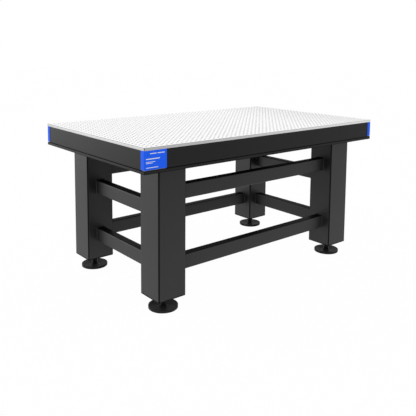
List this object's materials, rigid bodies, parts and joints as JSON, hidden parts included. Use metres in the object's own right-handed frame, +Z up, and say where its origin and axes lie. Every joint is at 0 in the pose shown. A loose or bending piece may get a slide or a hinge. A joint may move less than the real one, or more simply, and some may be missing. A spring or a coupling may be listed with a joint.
{
  "type": "optical table",
  "caption": "Free-standing optical table: drilled breadboard top with a honeycomb core on a welded frame of square legs and cross beams with screw levelling feet.",
  "frame": {"origin": "on the floor under the middle of the top", "axes": "+X along the long side, +Y along the short side to the back, +Z up; the front is -Y"},
  "size_m": [1.5, 0.9, 0.75],
  "materials": {
    "skin_steel": "fine ground ferromagnetic stainless face",
    "core_steel": "plain honeycomb foil",
    "side_panel": "black textured coating",
    "blue_trim": "satin blue",
    "frame_paint": "black fine-textured powder coat",
    "foot_steel": "black oxide",
    "foot_pad": "black satin coating"
  },
  "bodies": {
    "table": {"top_skin": "skin_steel", "bottom_skin": "side_panel", "honeycomb_core": "core_steel", "front_panel": "side_panel", "back_panel": "side_panel", "left_panel": "side_panel", "right_panel": "side_panel", "front_upper_beam": "frame_paint", "back_upper_beam": "frame_paint", "left_upper_beam": "frame_paint", "right_upper_beam": "frame_paint", "front_lower_beam": "frame_paint", "back_lower_beam": "frame_paint", "left_lower_beam": "frame_paint", "right_lower_beam": "frame_paint", "corner_trim_front_left": "blue_trim", "leg_column_front_left": "frame_paint", "leg_top_plate_front_left": "frame_paint", "leg_foot_plate_front_left": "frame_paint", "lock_nut_front_left": "foot_steel", "corner_trim_front_right": "blue_trim", "leg_column_front_right": "frame_paint", "leg_top_plate_front_right": "frame_paint", "leg_foot_plate_front_right": "frame_paint", "lock_nut_front_right": "foot_steel", "corner_trim_back_left": "blue_trim", "leg_column_back_left": "frame_paint", "leg_top_plate_back_left": "frame_paint", "leg_foot_plate_back_left": "frame_paint", "lock_nut_back_left": "foot_steel", "corner_trim_back_right": "blue_trim", "leg_column_back_right": "frame_paint", "leg_top_plate_back_right": "frame_paint", "leg_foot_plate_back_right": "frame_paint", "lock_nut_back_right": "foot_steel"},
    "foot_front_left": {"foot_pad_front_left": "foot_pad", "foot_stem_front_left": "foot_steel"},
    "foot_front_right": {"foot_pad_front_right": "foot_pad", "foot_stem_front_right": "foot_steel"},
    "foot_back_left": {"foot_pad_back_left": "foot_pad", "foot_stem_back_left": "foot_steel"},
    "foot_back_right": {"foot_pad_back_right": "foot_pad", "foot_stem_back_right": "foot_steel"}
  },
  "joints": [
    {"name": "foot_height_front_left", "type": "slide", "parent": "table", "child": "foot_front_left", "axis": [0, 0, 1], "range_m": [-0.02, 0.015]},
    {"name": "foot_height_front_right", "type": "slide", "parent": "table", "child": "foot_front_right", "axis": [0, 0, 1], "range_m": [-0.02, 0.015]},
    {"name": "foot_height_back_left", "type": "slide", "parent": "table", "child": "foot_back_left", "axis": [0, 0, 1], "range_m": [-0.02, 0.015]},
    {"name": "foot_height_back_right", "type": "slide", "parent": "table", "child": "foot_back_right", "axis": [0, 0, 1], "range_m": [-0.02, 0.015]}
  ]
}
